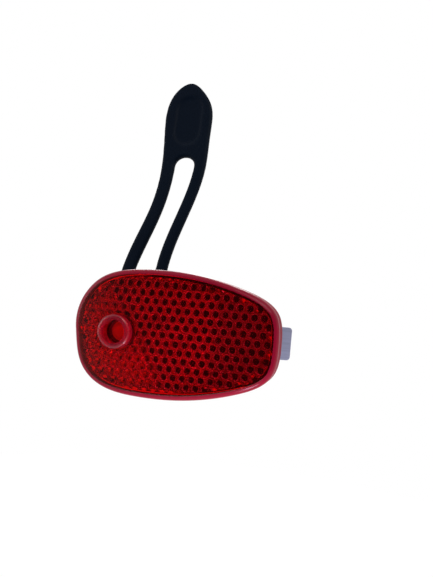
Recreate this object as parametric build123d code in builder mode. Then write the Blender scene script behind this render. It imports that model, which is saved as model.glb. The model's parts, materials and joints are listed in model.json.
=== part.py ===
from build123d import *
import os
from math import atan, cos, degrees, radians, sin, sqrt

# Bicycle rear light: a red lens with a moulded cube-corner reflector and a raised LED
# window, a black housing with a saddle for the seat post, a silicone strap and a sprung
# steel clip. Millimetres. The origin lies on the seat post's axis at the middle of the
# saddle. +X runs along the post and the light's long side, the light shines towards -Y,
# and +Z points to the side that the strap hangs on. A depth is a distance in front of
# the post's axis, towards -Y.

# Overall outline of the light, seen from the front
light_x = 17.0            # centre of the lens along the post, from the middle of the saddle
light_length = 63.6
light_height = 39.0
# Shares of the half length and half height that the upper edge passes through
outline_shape = [(-0.893, 0.631), (-0.786, 0.805), (-0.314, 1.0), (0.635, 0.79), (0.95, 0.472)]

# Depths of the main planes
back_depth = 20.0         # flat back of the housing
seam_depth = 30.4         # joint between the housing and the lens
lens_depth = 39.0         # flat front of the lens

# Lens
lens_wall = 1.7           # skirt round the lens
lens_plate = 2.0          # clear thickness over the reflector
lens_round = 1.9          # rounded front edge
seam_gap = 0.15
prism_pitch = 2.9         # across flats of one reflector cell
prism_root = 0.3          # how far the cells start inside the plate
prism_margin = 2.3        # plain rim outside the reflector
coin_slot_length = 9.0
coin_slot_height = 1.1

# LED window
window_x = -0.5
window_radius = 5.2
window_rise = 3.2
window_bore = 3.7
window_sink = 4.5         # depth of the recess below the top of the ring
window_floor = 0.9
window_round = 0.9
window_clear = 0.4        # plain ring between the window and the first cells

# Housing
housing_wall = 1.6
front_inset = 0.3
back_inset = 2.2          # how much smaller the back is than the front
back_round = 1.5
lip_inset = 2.0
lip_wall = 1.4
lip_height = 3.0

# Rubber ring round the lip
seal_depth = 31.8
seal_height = 1.0
seal_bite = 0.6           # how deep the ring sits in the lip
seal_gap = 0.05

# Saddle for the seat post and its rubber pad
post_radius = 13.6
pad_thickness = 1.6
pad_half_wrap = 58.0
pad_gap = 0.03
saddle_length = 18.0
saddle_lip = 1.3
saddle_round = 3.0
pad_length = 16.8

# Strap, its steel pin and the ears that carry it
strap_x = -0.8
strap_thickness = 2.2
strap_lean = 12.0         # how far the free strap leans back from upright
strap_pin_radius = 1.25
strap_pin_z = 15.7
strap_eye_wall = 1.35
strap_eye_width = 12.0
strap_back_gap = 0.4
strap_gap = 0.15
strap_ear = 1.8
strap_ear_radius = 2.6
strap_edge_round = 0.5
strap_left = [(-9.4, 3.1), (-5.8, 16.5), (-2.0, 28.4), (-0.4, 41.6), (-1.2, 55.0), (-1.2, 65.0)]
strap_tip = [(1.6, 71.2), (6.3, 73.9), (10.9, 70.9)]
strap_right = [(14.7, 64.8), (15.4, 55.0), (15.3, 41.8), (12.7, 28.8), (9.3, 17.2), (6.8, 3.1)]
slot_left = [(-4.5, 4.8), (-1.8, 13.8), (1.9, 25.5), (3.8, 35.5), (4.3, 42.6)]
slot_right = [(11.3, 42.6), (10.5, 36.5), (7.7, 25.7), (4.4, 14.1), (2.9, 4.8)]
slot_foot = (-0.65, 3.7)
grip_place = (7.1, 59.3)
grip_length = 18.0
grip_width = 9.4
grip_recess = 0.4

# Hook that the strap's slot catches on
hook_width = 5.2
hook_stem = 2.6
hook_reach = 5.0
hook_nose = 2.6

# Clip, its pin and its torsion spring
clip_width = 10.4
clip_metal = 0.8
clip_pivot_x = 22.0
clip_pivot_depth = 17.8
clip_plate_depth = 15.5
clip_tail = 9.0
clip_tail_flare = 0.5
clip_flat = 9.0
clip_contact_x = 42.5
clip_contact_gap = 0.35
clip_end_x = 50.2
clip_end_depth = 17.2
clip_bend = 3.0
clip_corner = 1.1
clip_ear_radius = 1.9
clip_pin_radius = 1.0
clip_lug = 1.8
clip_lug_radius = 2.2
clip_lug_gap = 0.25
spring_wire = 0.25        # radius of the wire
spring_coil = 1.4         # radius of the coil at the wire's middle
spring_pitch = 0.62
spring_turns = 2
spring_leg_gap = 0.4

# Running and fixed clearances of the two pins
pin_run = 0.05
pin_fit = 0.02
pin_chamfer = 0.25

# Cells and the ribs that cradle them
cell_radius = 5.25
cell_length = 43.3
cell_nub_radius = 1.9
cell_nub = 1.2
cell_round = 0.5
cell_spacing = 10.9
cell_start_x = -9.0
cell_gap = 0.15
rib_thickness = 1.6
rib_places = [1.0, 13.5, 27.0]

# Circuit board and what is soldered to it
board_gap = 0.15          # between the cells and the board
board_thickness = 1.0
board_inset = 4.2
board_right_x = 29.5
boss_radius = 1.9
screw_radius = 0.7
screw_head_radius = 1.5
screw_head = 0.75
screw_grip = 4.0
screw_fit = 0.02
board_screws = [(0.0, 13.2), (23.5, -12.8)]
led_radius = 2.5
led_height = 2.6
led_flange_radius = 3.1
led_flange_height = 1.0
holder_radius = 4.9
holder_bore = 3.3
part_gap = 0.02           # solder gap under the small components
chip_size = (4.9, 3.9, 0.85)
chip_place = (12.0, 4.0)
resistor_size = (2.0, 1.25, 0.45)
resistor_place = (9.0, -3.5)
capacitor_size = (3.2, 1.6, 0.8)
capacitor_place = (15.5, -4.5)

# Push button and switch
button_x = 10.0
button_depth = 26.2
button_length = 9.0
button_height = 5.0
button_flange = 1.2       # how far the flange stands out round the button
button_flange_height = 0.9
button_proud = 0.9
button_wall = 2.1         # housing wall left under the flange
button_gap = 0.15
button_travel = 0.35
switch_length = 6.0
switch_body = 2.4
plunger_radius = 1.5
plunger_height = 0.9
plunger_gap = 0.05
plunger_inside = 0.5

# Battery contacts
contact_metal = 0.4
contact_width = 5.0
contact_room = 1.7        # from the end of the cells to the contacts' back
contact_side = 0.15       # from the cell's side to the contact strip
link_room = 1.3           # from the end of the cells to the link's back
contact_wall = 1.0        # wall that the contacts lean on
contact_tab_x = 26.6
contact_tab_width = 2.2

# Sizes that follow from the ones above
half_length = light_length / 2
half_height = light_height / 2
plate_back = lens_depth - lens_plate
prism_edge = prism_pitch / sqrt(2)
prism_height = 2 * prism_edge / sqrt(3)
window_front = lens_depth + window_rise
window_floor_depth = window_front - window_sink
groove_radius = post_radius + pad_thickness
saddle_mouth = groove_radius * cos(radians(pad_half_wrap))
saddle_half_height = groove_radius * sin(radians(pad_half_wrap)) + saddle_lip
strap_eye_radius = strap_pin_radius + pin_run + strap_eye_wall
strap_neck = strap_ear_radius + 2 * strap_gap
strap_pin_depth = back_depth - strap_eye_radius - strap_back_gap
inner_back = back_depth + housing_wall
inner_inset = back_inset + housing_wall
lip_inner = lip_inset + lip_wall
cell_depth = inner_back + cell_gap + cell_radius
cell_end_x = cell_start_x + cell_length + cell_nub
cell_side = cell_spacing / 2 + cell_radius
board_back = cell_depth + cell_radius + board_gap
board_front = board_back + board_thickness
contact_back_x = cell_end_x + contact_room
contact_strip_z = cell_side + contact_side + contact_metal / 2

os.makedirs("parts", exist_ok=True)


def outline_points(inset):
    """Points of the light's outline, moved inwards by the inset."""
    upper = [(light_x + half_length * a, half_height * b) for a, b in outline_shape]
    lower = [(x, -z) for x, z in reversed(upper)]
    points = [(light_x - half_length, 0), *upper, (light_x + half_length, 0), *lower]
    edge = Spline(*points, periodic=True, mode=Mode.PRIVATE)
    moved = []
    for x, z in points:
        run = edge.tangent_at((x, z))
        moved.append((x + inset * run.Y, z - inset * run.X))
    return moved


def outline_face(depth, inset, hole_inset=None):
    """The outline at a depth in front of the post, whole or as a ring."""
    with BuildSketch(Plane.XZ.offset(depth)) as face:
        with BuildLine():
            Spline(*outline_points(inset), periodic=True)
        make_face()
        if hole_inset is not None:
            with BuildLine():
                Spline(*outline_points(hole_inset), periodic=True)
            make_face(mode=Mode.SUBTRACT)
    return face.sketch


def outline_half(x, inset):
    """Half height of the outline at one place along the light."""
    with BuildSketch() as strip:
        with BuildLine():
            Spline(*outline_points(inset), periodic=True)
        make_face()
        with Locations((x, 0)):
            Rectangle(prism_root, 2 * light_height, mode=Mode.INTERSECT)
    return strip.sketch.bounding_box().max.Y


def shell_inset(depth):
    """Inset of the housing's outside, which tapers from the seam to the back."""
    share = (seam_depth - depth) / (seam_depth - back_depth)
    return front_inset + (back_inset - front_inset) * share


# Lens
with BuildPart() as prism_cell:
    with BuildSketch():
        RegularPolygon(prism_pitch / 2, 6, major_radius=False)
    extrude(amount=prism_root + prism_height)
    corner = Box(2 * prism_pitch, 2 * prism_pitch, 2 * prism_pitch,
                 align=(Align.MAX, Align.MAX, Align.MAX), mode=Mode.PRIVATE)
    corner = corner.rotate(Axis.Z, 135).rotate(Axis.Y, degrees(atan(sqrt(2))))
    add(corner.translate((0, 0, prism_root + prism_height)), mode=Mode.INTERSECT)

prism_plane = Plane(
    origin=(light_x, -(plate_back + prism_root), 0), x_dir=(0, 0, 1), z_dir=(0, 1, 0)
)
prism_rows = int(light_height / (prism_pitch * sqrt(3) / 2)) + 2
prism_columns = int(light_length / prism_pitch) + 2

with BuildPart(prism_plane) as reflector:
    with HexLocations(prism_pitch / 2, prism_rows, prism_columns):
        add(prism_cell.part)

with BuildPart() as reflector_block:
    extrude(outline_face(lens_depth, prism_margin), amount=-lens_plate - 2 * prism_height)
    with BuildSketch(Plane.XZ.offset(lens_depth)):
        with Locations((window_x, 0)):
            Circle(window_radius + window_clear)
    extrude(amount=-lens_plate - 2 * prism_height, mode=Mode.SUBTRACT)
    add(reflector.part, mode=Mode.INTERSECT)

with BuildPart() as lens:
    skirt_depth = seam_depth + seam_gap
    extrude(outline_face(skirt_depth, 0), amount=lens_depth - skirt_depth)
    fillet(lens.faces().sort_by(Axis.Y)[0].edges(), lens_round)
    extrude(outline_face(skirt_depth, lens_wall), amount=plate_back - skirt_depth,
            mode=Mode.SUBTRACT)
    add(reflector_block.part)
    # Raised ring round the LED, with a thin clear floor in it
    with BuildSketch(Plane.XZ.offset(plate_back)):
        with Locations((window_x, 0)):
            Circle(window_radius)
    extrude(amount=window_front - plate_back)
    fillet(lens.faces().sort_by(Axis.Y)[0].edges(), window_round)
    with BuildSketch(Plane.XZ.offset(window_floor_depth - window_floor)):
        with Locations((window_x, 0)):
            Circle(window_radius)
    extrude(amount=window_floor)
    with BuildSketch(Plane.XZ.offset(window_floor_depth)):
        with Locations((window_x, 0)):
            Circle(window_bore)
    extrude(amount=window_sink, mode=Mode.SUBTRACT)
    # Shallow slot for a coin in the joint line
    with BuildSketch(Plane.XZ.offset(skirt_depth)):
        with Locations((light_x, -outline_half(light_x, 0))):
            Rectangle(coin_slot_length, lens_wall)
    extrude(amount=coin_slot_height, mode=Mode.SUBTRACT)

lens.part.label = "lens"
export_step(lens.part, "parts/lens.step")

# Housing
block_root = back_depth + housing_wall / 2
with BuildPart() as saddle_block:
    with BuildSketch(Plane.YZ.offset(-saddle_length / 2)):
        with Locations((-(block_root + saddle_mouth) / 2, 0)):
            Rectangle(block_root - saddle_mouth, 2 * saddle_half_height)
    extrude(amount=saddle_length)
    fillet(saddle_block.edges().filter_by(Axis.Y), saddle_round)
    # Room for the strap's eye
    with BuildSketch(Plane.YZ.offset(strap_x - strap_eye_width / 2 - strap_gap)):
        with Locations((-strap_pin_depth, strap_pin_z)):
            Circle(strap_eye_radius + 2 * strap_gap)
    extrude(amount=strap_eye_width + 2 * strap_gap, mode=Mode.SUBTRACT)

with BuildPart() as housing:
    loft([outline_face(seam_depth, front_inset).face(), outline_face(back_depth, back_inset).face()])
    fillet(housing.faces().sort_by(Axis.Y)[-1].edges(), back_round)
    extrude(outline_face(seam_depth, lip_inset), amount=lip_height)
    add(saddle_block.part)
    # Ears for the strap pin
    for side in (-1, 1):
        ear_start = strap_x + side * (strap_eye_width / 2 + strap_gap)
        with BuildSketch(Plane.YZ.offset(ear_start)):
            with Locations((-strap_pin_depth, strap_pin_z)):
                Circle(strap_ear_radius)
            with Locations((-block_root, saddle_half_height - strap_ear_radius)):
                Rectangle(block_root - strap_pin_depth + strap_ear_radius, 2 * strap_ear_radius,
                          align=(Align.MIN, Align.CENTER))
            make_hull()
        extrude(amount=side * strap_ear)
    # Hook for the far end of the strap's slot
    hook_back = saddle_mouth + hook_stem
    hook_front = hook_back + hook_stem
    hook_tip = -(saddle_half_height + hook_reach)
    with BuildSketch(Plane.YZ.offset(strap_x - hook_width / 2)):
        with BuildLine():
            Polyline(
                (-hook_back, hook_stem - saddle_half_height),
                (-hook_back, hook_tip),
                (-hook_front - hook_nose, hook_tip),
                (-hook_front - hook_nose, hook_tip + hook_stem),
                (-hook_front, hook_tip + hook_stem),
                (-hook_front, hook_stem - saddle_half_height),
                close=True,
            )
        make_face()
        fillet(vertices().group_by(Axis.Y)[0], hook_stem / 3)
    extrude(amount=hook_width)
    # Lugs for the clip pin
    for side in (-1, 1):
        with BuildSketch(Plane.XY.offset(side * (clip_width / 2 + clip_lug_gap))):
            with Locations((clip_pivot_x, -clip_pivot_depth)):
                Circle(clip_lug_radius)
            with Locations((clip_pivot_x, -back_depth)):
                Rectangle(3 * clip_lug_radius, housing_wall)
            make_hull()
        extrude(amount=side * clip_lug)
    # Inside of the shell
    loft([outline_face(seam_depth, lip_inner).face(), outline_face(inner_back, inner_inset).face()],
         mode=Mode.SUBTRACT)
    extrude(outline_face(seam_depth, lip_inner), amount=lip_height, mode=Mode.SUBTRACT)
    # Room for the ends of the cells
    with BuildSketch(Plane.YZ.offset(cell_start_x - cell_gap)):
        with Locations((-cell_depth, cell_spacing / 2), (-cell_depth, -cell_spacing / 2)):
            Circle(cell_radius + cell_gap / 2)
    extrude(amount=cell_length + cell_nub + 2 * cell_gap, mode=Mode.SUBTRACT)
    # Ribs that cradle the cells
    for rib_x in rib_places:
        with BuildSketch(Plane.YZ.offset(rib_x)):
            with Locations((-(inner_back - housing_wall / 2 + cell_depth) / 2, 0)):
                Rectangle(cell_depth - inner_back + housing_wall / 2, 2 * cell_side - rib_thickness)
            with Locations((-cell_depth, cell_spacing / 2), (-cell_depth, -cell_spacing / 2)):
                Circle(cell_radius + cell_gap, mode=Mode.SUBTRACT)
        extrude(amount=rib_thickness)
    # Walls that the contacts at both ends of the cells lean on
    wall_root = inner_back - housing_wall / 2
    wall_top = cell_depth + contact_width / 2
    for wall_x in (cell_start_x - link_room - contact_wall, contact_back_x):
        with BuildSketch(Plane.YZ.offset(wall_x)):
            with Locations((-(wall_root + wall_top) / 2, 0)):
                Rectangle(wall_top - wall_root, cell_spacing + cell_nub_radius)
        extrude(amount=contact_wall)
    # Bosses for the circuit board
    with BuildSketch(Plane.XZ.offset(wall_root)):
        with Locations(*board_screws):
            Circle(boss_radius)
    extrude(amount=board_back - wall_root)
    with BuildSketch(Plane.XZ.offset(board_back)):
        with Locations(*board_screws):
            Circle(screw_radius + screw_fit)
    extrude(amount=-screw_grip - screw_fit, mode=Mode.SUBTRACT)
    # Groove for the rubber ring
    extrude(outline_face(seal_depth - seal_gap, lens_wall, lip_inset + seal_bite),
            amount=seal_height + 2 * seal_gap, mode=Mode.SUBTRACT)
    # Seat for the post, and holes for the two pins
    with BuildSketch(Plane.YZ.offset(-saddle_length)):
        Circle(groove_radius)
    extrude(amount=2 * saddle_length, mode=Mode.SUBTRACT)
    with BuildSketch(Plane.YZ.offset(strap_x - strap_eye_width)):
        with Locations((-strap_pin_depth, strap_pin_z)):
            Circle(strap_pin_radius + pin_fit)
    extrude(amount=2 * strap_eye_width, mode=Mode.SUBTRACT)
    with BuildSketch(Plane.XY.offset(-clip_width)):
        with Locations((clip_pivot_x, -clip_pivot_depth)):
            Circle(clip_pin_radius + pin_fit)
    extrude(amount=2 * clip_width, mode=Mode.SUBTRACT)
    # Opening for the button, with a pocket for its flange inside the wall
    button_wall_z = outline_half(button_x, shell_inset(button_depth))
    pocket_z = button_wall_z - button_wall
    with BuildSketch(Plane.XY.offset(-pocket_z + 2 * button_wall)):
        with Locations((button_x, -button_depth)):
            SlotOverall(button_length + 2 * (button_flange + button_gap),
                        button_height + 2 * (button_flange + button_gap))
    extrude(amount=-2 * button_wall, mode=Mode.SUBTRACT)
    with BuildSketch(Plane.XY.offset(-pocket_z)):
        with Locations((button_x, -button_depth)):
            SlotOverall(button_length + 2 * button_gap, button_height + 2 * button_gap)
    extrude(amount=-3 * button_wall, mode=Mode.SUBTRACT)

housing.part.label = "housing"
export_step(housing.part, "parts/housing.step")

# Rubber ring that seals the lens
with BuildPart() as lens_seal:
    extrude(outline_face(seal_depth, lens_wall + seal_gap, lip_inset + seal_bite - seal_gap),
            amount=seal_height)

lens_seal.part.label = "lens_seal"
export_step(lens_seal.part, "parts/lens_seal.step")

# Rubber pad in the saddle
with BuildPart() as saddle_pad:
    with BuildSketch(Plane.YZ.offset(-pad_length / 2)):
        with BuildLine():
            ring_in = CenterArc((0, 0), post_radius, 180 - pad_half_wrap, 2 * pad_half_wrap)
            ring_out = CenterArc((0, 0), groove_radius - pad_gap, 180 - pad_half_wrap, 2 * pad_half_wrap)
            Line(ring_in @ 0, ring_out @ 0)
            Line(ring_in @ 1, ring_out @ 1)
        make_face()
    extrude(amount=pad_length)

saddle_pad.part.label = "saddle_pad"
export_step(saddle_pad.part, "parts/saddle_pad.step")

# Strap: a leaf-shaped pull tab on two legs, and an eye for its pin
strap_plane = Plane(
    origin=(0, -strap_pin_depth, strap_pin_z),
    x_dir=(1, 0, 0),
    z_dir=(0, -cos(radians(strap_lean)), sin(radians(strap_lean))),
)
with BuildPart() as strap:
    with BuildSketch(Plane.YZ.offset(strap_x - strap_eye_width / 2)):
        with Locations((-strap_pin_depth, strap_pin_z)):
            Circle(strap_eye_radius)
    extrude(amount=strap_eye_width)
    with BuildSketch(strap_plane):
        with BuildLine():
            outer = Spline(*strap_left, *strap_tip, *strap_right)
            eye_left = (strap_x - strap_eye_width / 2, strap_neck)
            eye_right = (strap_x + strap_eye_width / 2, strap_neck)
            Polyline(outer @ 1, eye_right, (eye_right[0], 0), (eye_left[0], 0), eye_left, outer @ 0)
        make_face()
        with BuildLine():
            left_edge = Spline(*slot_left)
            right_edge = Spline(*slot_right)
            TangentArc(left_edge @ 1, right_edge @ 0, tangent=left_edge % 1)
            ThreePointArc(right_edge @ 1, slot_foot, left_edge @ 0)
        make_face(mode=Mode.SUBTRACT)
    extrude(amount=strap_thickness / 2, both=True)
    flats = strap.faces().filter_by(GeomType.PLANE).sort_by(SortBy.AREA)[-2:]
    fillet(flats.edges().filter_by(GeomType.LINE, reverse=True), strap_edge_round)
    # Recess in the front of the pull tab
    with BuildSketch(strap_plane.offset(strap_thickness / 2)):
        with Locations(grip_place):
            SlotOverall(grip_length, grip_width, rotation=90)
    extrude(amount=-grip_recess, mode=Mode.SUBTRACT)
    with BuildSketch(Plane.YZ.offset(strap_x - strap_eye_width / 2)):
        with Locations((-strap_pin_depth, strap_pin_z)):
            Circle(strap_pin_radius + pin_run)
    extrude(amount=strap_eye_width, mode=Mode.SUBTRACT)

strap.part.label = "strap"
export_step(strap.part, "parts/strap.step")

# Pin through the strap's eye
strap_pin_length = strap_eye_width + 2 * (strap_gap + strap_ear)
with BuildPart() as strap_pin:
    with BuildSketch(Plane.YZ.offset(strap_x - strap_pin_length / 2)):
        with Locations((-strap_pin_depth, strap_pin_z)):
            Circle(strap_pin_radius)
    extrude(amount=strap_pin_length)
    chamfer(strap_pin.edges().filter_by(GeomType.CIRCLE), pin_chamfer)

strap_pin.part.label = "strap_pin"
export_step(strap_pin.part, "parts/strap_pin.step")

# Clip: bent sheet with two folded ears
clip_contact_depth = back_depth - clip_contact_gap - clip_metal / 2
with BuildPart() as clip:
    with BuildSketch(Plane.XY.offset(-clip_width / 2)):
        with BuildLine():
            FilletPolyline(
                (clip_pivot_x - clip_tail, clip_tail_flare - clip_plate_depth),
                (clip_pivot_x - clip_ear_radius, -clip_plate_depth),
                (clip_pivot_x + clip_flat, -clip_plate_depth),
                (clip_contact_x, -clip_contact_depth),
                (clip_end_x, -clip_end_depth),
                radius=clip_bend,
            )
        trace(line_width=clip_metal)
    extrude(amount=clip_width)
    tips = clip.faces().sort_by(Axis.X)
    short = tips[0].edges().sort_by(SortBy.LENGTH)[:2] + tips[-1].edges().sort_by(SortBy.LENGTH)[:2]
    fillet(short, clip_corner)
    for side in (-1, 1):
        with BuildSketch(Plane.XY.offset(side * (clip_width / 2 - clip_metal))):
            with Locations((clip_pivot_x, -clip_pivot_depth)):
                Circle(clip_ear_radius)
            with Locations((clip_pivot_x, -clip_plate_depth)):
                Rectangle(2 * clip_ear_radius, clip_metal)
            make_hull()
            with Locations((clip_pivot_x, -clip_pivot_depth)):
                Circle(clip_pin_radius + pin_run, mode=Mode.SUBTRACT)
        extrude(amount=side * clip_metal)

clip.part.label = "clip"
export_step(clip.part, "parts/clip.step")

# Pin that the clip turns on
clip_pin_length = clip_width + 2 * (clip_lug_gap + clip_lug)
with BuildPart() as clip_pin:
    with BuildSketch(Plane.XY.offset(-clip_pin_length / 2)):
        with Locations((clip_pivot_x, -clip_pivot_depth)):
            Circle(clip_pin_radius)
    extrude(amount=clip_pin_length)
    chamfer(clip_pin.edges().filter_by(GeomType.CIRCLE), pin_chamfer)

clip_pin.part.label = "clip_pin"
export_step(clip_pin.part, "parts/clip_pin.step")

# Torsion spring round the clip pin, one leg on the housing and one under the clip's tail
spring_height = spring_pitch * spring_turns
spring_leg_x = clip_pivot_x - spring_coil
leg_plate = -(clip_plate_depth + clip_metal / 2 + spring_leg_gap + spring_wire)
leg_back = -(back_depth - spring_leg_gap / 2 - spring_wire)
with BuildPart() as clip_spring:
    with BuildLine() as spring_path:
        coil = Helix(spring_pitch, spring_height, spring_coil, mode=Mode.PRIVATE)
        coil = coil.rotate(Axis.Z, 180).translate((clip_pivot_x, -clip_pivot_depth, -spring_height / 2))
        add(coil)
        Line((spring_leg_x, leg_plate, -spring_height / 2), coil @ 0)
        Line(coil @ 1, (spring_leg_x, leg_back, spring_height / 2))
    with BuildSketch(Plane(origin=(spring_leg_x, leg_plate, -spring_height / 2), z_dir=(0, -1, 0))):
        Circle(spring_wire)
    sweep(path=spring_path.wires()[0])

clip_spring.part.label = "clip_spring"
export_step(clip_spring.part, "parts/clip_spring.step")

# Push button with a flange inside the wall
button_base_z = -pocket_z + button_gap
button_face_z = -(button_wall_z + button_proud)
with BuildPart() as button:
    with BuildSketch(Plane.XY.offset(button_base_z)):
        with Locations((button_x, -button_depth)):
            SlotOverall(button_length + 2 * button_flange, button_height + 2 * button_flange)
    extrude(amount=button_flange_height)
    with BuildSketch(Plane.XY.offset(button_base_z)):
        with Locations((button_x, -button_depth)):
            SlotOverall(button_length, button_height)
    extrude(amount=button_face_z - button_base_z)
    chamfer(button.faces().sort_by(Axis.Z)[0].edges(), button_proud / 2)

button.part.label = "button"
export_step(button.part, "parts/button.step")

# Switch under the button, soldered to the back of the board
plunger_tip_z = button_base_z + button_flange_height + plunger_gap
switch_face_z = plunger_tip_z + plunger_height
switch_center_depth = board_back - part_gap - switch_length / 2
with BuildPart() as switch_case:
    with BuildSketch(Plane.XY.offset(switch_face_z)):
        with Locations((button_x, -switch_center_depth)):
            RectangleRounded(switch_length, switch_length, part_gap * 20)
    extrude(amount=switch_body)
    with BuildSketch(Plane.XY.offset(switch_face_z)):
        with Locations((button_x, -button_depth)):
            Circle(plunger_radius + pin_run)
    extrude(amount=plunger_inside + button_travel + pin_run, mode=Mode.SUBTRACT)

switch_case.part.label = "switch_case"
export_step(switch_case.part, "parts/switch_case.step")

with BuildPart() as switch_plunger:
    with BuildSketch(Plane.XY.offset(plunger_tip_z)):
        with Locations((button_x, -button_depth)):
            Circle(plunger_radius)
    extrude(amount=plunger_height + plunger_inside)

switch_plunger.part.label = "switch_plunger"
export_step(switch_plunger.part, "parts/switch_plunger.step")

# Circuit board
with BuildPart() as circuit_board:
    extrude(outline_face(board_back, board_inset), amount=board_thickness)
    with BuildSketch(Plane.XZ.offset(board_back)):
        with Locations((board_right_x, 0)):
            Rectangle(light_length, light_height, align=(Align.MIN, Align.CENTER))
    extrude(amount=board_thickness, mode=Mode.SUBTRACT)
    with BuildSketch(Plane.XZ.offset(board_back)):
        with Locations(*board_screws):
            Circle(screw_radius + pin_run)
    extrude(amount=board_thickness, mode=Mode.SUBTRACT)

circuit_board.part.label = "circuit_board"
export_step(circuit_board.part, "parts/circuit_board.step")

with BuildPart() as board_screws_set:
    with BuildSketch(Plane.XZ.offset(board_front + part_gap)):
        with Locations(*board_screws):
            Circle(screw_head_radius)
    extrude(amount=screw_head)
    with BuildSketch(Plane.XZ.offset(board_front + part_gap)):
        with Locations(*board_screws):
            Circle(screw_radius)
    extrude(amount=-board_thickness - screw_grip)

board_screws_set.part.label = "board_screws"
export_step(board_screws_set.part, "parts/board_screws.step")

# LED and the black ring that holds it under the window
with BuildPart() as led:
    with BuildSketch(Plane.XZ.offset(board_front + part_gap)):
        with Locations((window_x, 0)):
            Circle(led_flange_radius)
    extrude(amount=led_flange_height)
    with BuildSketch(Plane.XZ.offset(board_front + part_gap)):
        with Locations((window_x, 0)):
            Circle(led_radius)
    extrude(amount=led_height)
    fillet(led.faces().sort_by(Axis.Y)[0].edges(), led_radius / 2)

led.part.label = "led"
export_step(led.part, "parts/led.step")

holder_front = window_floor_depth - window_floor - seam_gap
with BuildPart() as led_holder:
    with BuildSketch(Plane.XZ.offset(board_front + part_gap)):
        with Locations((window_x, 0)):
            Circle(holder_radius)
            Circle(holder_bore, mode=Mode.SUBTRACT)
    extrude(amount=holder_front - board_front - part_gap)

led_holder.part.label = "led_holder"
export_step(led_holder.part, "parts/led_holder.step")

# Small components on the front of the board
with BuildPart() as control_chip:
    with BuildSketch(Plane.XZ.offset(board_front + part_gap)):
        with Locations(chip_place):
            Rectangle(chip_size[0], chip_size[1])
    extrude(amount=chip_size[2])
    chamfer(control_chip.faces().sort_by(Axis.Y)[0].edges(), chip_size[2] / 5)

control_chip.part.label = "control_chip"
export_step(control_chip.part, "parts/control_chip.step")

with BuildPart() as resistor:
    with BuildSketch(Plane.XZ.offset(board_front + part_gap)):
        with Locations(resistor_place):
            Rectangle(resistor_size[0], resistor_size[1])
    extrude(amount=resistor_size[2])

resistor.part.label = "resistor"
export_step(resistor.part, "parts/resistor.step")

with BuildPart() as capacitor:
    with BuildSketch(Plane.XZ.offset(board_front + part_gap)):
        with Locations(capacitor_place):
            Rectangle(capacitor_size[0], capacitor_size[1])
    extrude(amount=capacitor_size[2])

capacitor.part.label = "capacitor"
export_step(capacitor.part, "parts/capacitor.step")


def make_cell(z, facing):
    """One cell lying along the light, its nub at the end that it faces."""
    start = cell_start_x if facing > 0 else cell_end_x
    with BuildPart() as cell:
        with BuildSketch(Plane.YZ.offset(start)):
            with Locations((-cell_depth, z)):
                Circle(cell_radius)
        extrude(amount=facing * cell_length)
        chamfer(cell.edges().filter_by(GeomType.CIRCLE), cell_round)
        with BuildSketch(Plane.YZ.offset(start + facing * cell_length)):
            with Locations((-cell_depth, z)):
                Circle(cell_nub_radius)
        extrude(amount=facing * cell_nub)
    return cell


# Cells side by side, facing opposite ways
upper_cell = make_cell(cell_spacing / 2, 1)
upper_cell.part.label = "upper_cell"
export_step(upper_cell.part, "parts/upper_cell.step")

lower_cell = make_cell(-cell_spacing / 2, -1)
lower_cell.part.label = "lower_cell"
export_step(lower_cell.part, "parts/lower_cell.step")


def make_contact(side):
    """Sprung strip that runs beside a cell to its end, with a tab up to the board."""
    leaf_x = contact_back_x - contact_metal / 2 - part_gap
    leaf_peak = cell_end_x + cell_gap + contact_metal
    row = cell_spacing / 2
    reach = cell_nub_radius + contact_metal
    with BuildPart() as contact:
        with BuildSketch(Plane.XZ.offset(cell_depth - contact_width / 2)):
            with BuildLine():
                Polyline(
                    (contact_tab_x, side * contact_strip_z),
                    (leaf_x, side * contact_strip_z),
                    (leaf_x, side * (row + reach)),
                    (leaf_peak, side * row),
                    (leaf_x, side * (row - reach)),
                )
            trace(line_width=contact_metal)
        extrude(amount=contact_width)
        with BuildSketch(Plane.XZ.offset(cell_depth)):
            with Locations((contact_tab_x + contact_tab_width / 2, side * contact_strip_z)):
                Rectangle(contact_tab_width, contact_metal)
        extrude(amount=board_back - part_gap - cell_depth)
    return contact


# Contacts at the right end, and the link between the two cells at the left end
positive_contact = make_contact(1)
positive_contact.part.label = "positive_contact"
export_step(positive_contact.part, "parts/positive_contact.step")

negative_contact = make_contact(-1)
negative_contact.part.label = "negative_contact"
export_step(negative_contact.part, "parts/negative_contact.step")

link_x = cell_start_x - link_room + contact_metal / 2 + part_gap
link_peak = cell_start_x - cell_gap - contact_metal
link_bend = cell_spacing / 2 - cell_nub_radius
link_end = cell_spacing / 2 + cell_nub_radius / 2
with BuildPart() as cell_link:
    with BuildSketch(Plane.XZ.offset(cell_depth - contact_width / 2)):
        with BuildLine():
            Polyline(
                ((link_x + link_peak) / 2, -link_end),
                (link_peak, -cell_spacing / 2),
                (link_x, -link_bend),
                (link_x, link_bend),
                (link_peak, cell_spacing / 2),
                ((link_x + link_peak) / 2, link_end),
            )
        trace(line_width=contact_metal)
    extrude(amount=contact_width)

cell_link.part.label = "cell_link"
export_step(cell_link.part, "parts/cell_link.step")
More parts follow.
